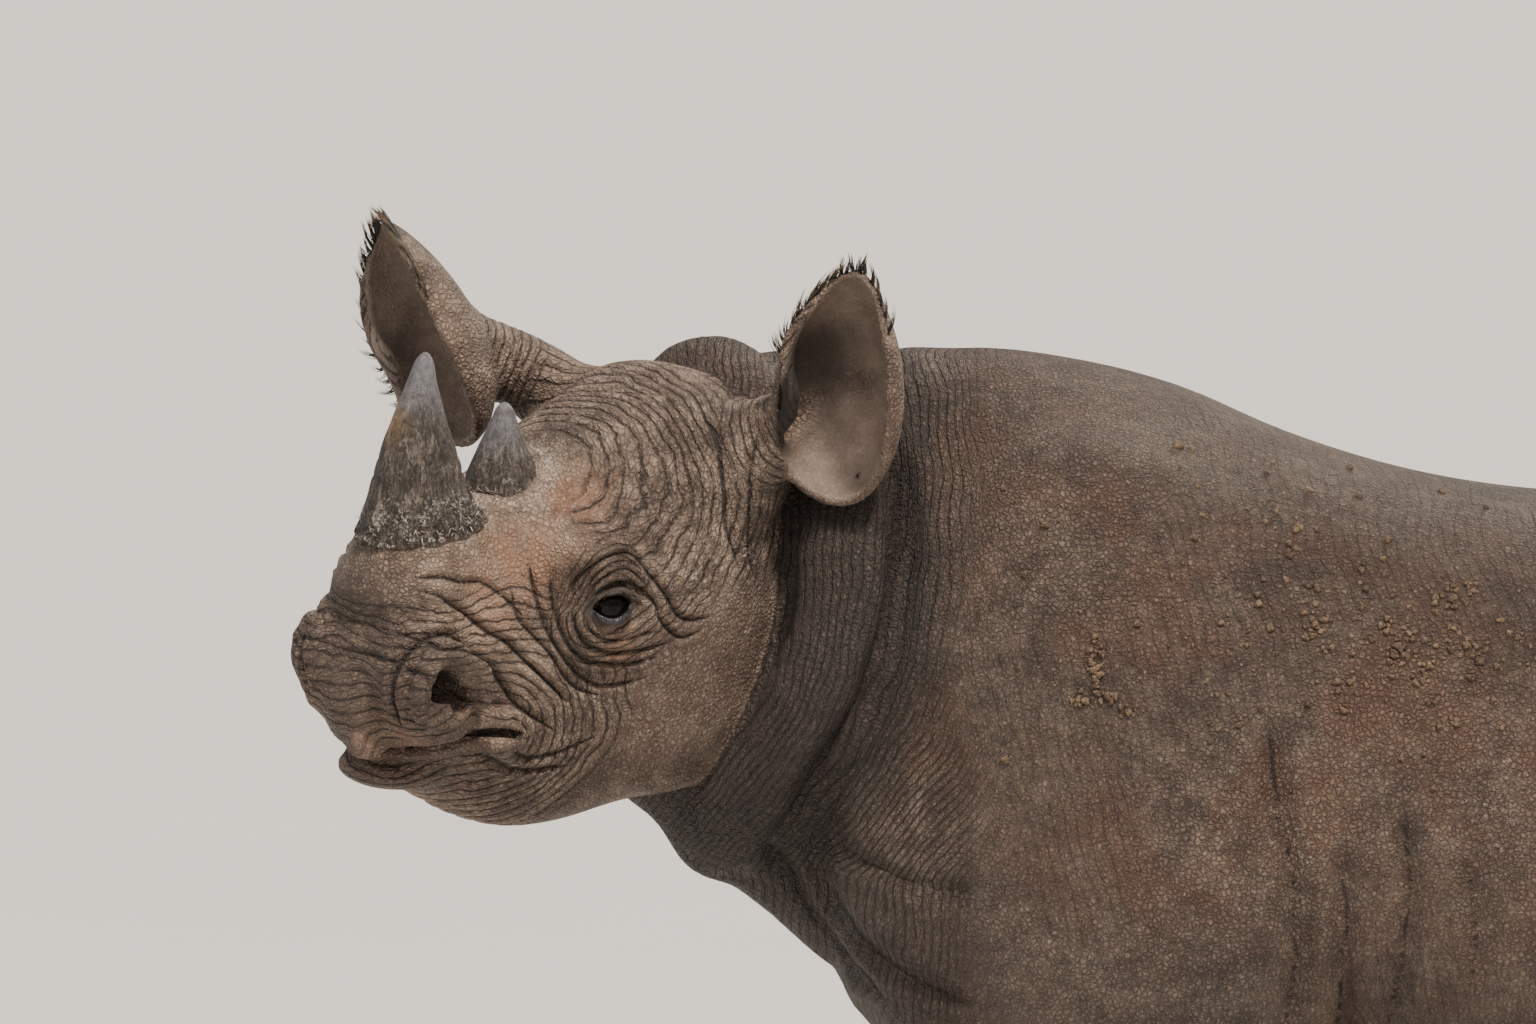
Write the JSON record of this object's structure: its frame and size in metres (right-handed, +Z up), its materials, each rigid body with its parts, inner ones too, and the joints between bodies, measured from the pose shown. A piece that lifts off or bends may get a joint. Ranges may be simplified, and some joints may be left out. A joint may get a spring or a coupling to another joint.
{
  "type": "black rhinoceros",
  "caption": "Young black rhinoceros, a still life-size model standing on its feet with its head turned to its left, with two short horns and wide hollow ears.",
  "frame": {"origin": "on the floor, under the middle of the bounding box", "axes": "+Z up; the animal faces -X with its left flank towards -Y"},
  "size_m": [1.9931, 0.7395, 1.3223],
  "materials": {
    "hide": "dry, dusty, wrinkled, bare skin",
    "horn": "fibrous at the base, smoother and slightly glossy at the tip",
    "eye": "wet, nearly black",
    "toenail": "worn, dusty"
  },
  "bodies": {
    "root": {"head": "hide", "neck": "hide", "trunk": "hide", "tail": "hide", "ear_left": "hide", "ear_right": "hide", "leg_fore_left": "hide", "nail_fore_left_1": "toenail", "nail_fore_left_2": "toenail", "nail_fore_left_3": "toenail", "leg_fore_right": "hide", "nail_fore_right_1": "toenail", "nail_fore_right_2": "toenail", "nail_fore_right_3": "toenail", "leg_hind_left": "hide", "nail_hind_left_1": "toenail", "nail_hind_left_2": "toenail", "nail_hind_left_3": "toenail", "leg_hind_right": "hide", "nail_hind_right_1": "toenail", "nail_hind_right_2": "toenail", "nail_hind_right_3": "toenail", "horn_front": "horn", "horn_rear": "horn", "eye_left": "eye", "eye_right": "eye"}
  },
  "joints": []
}
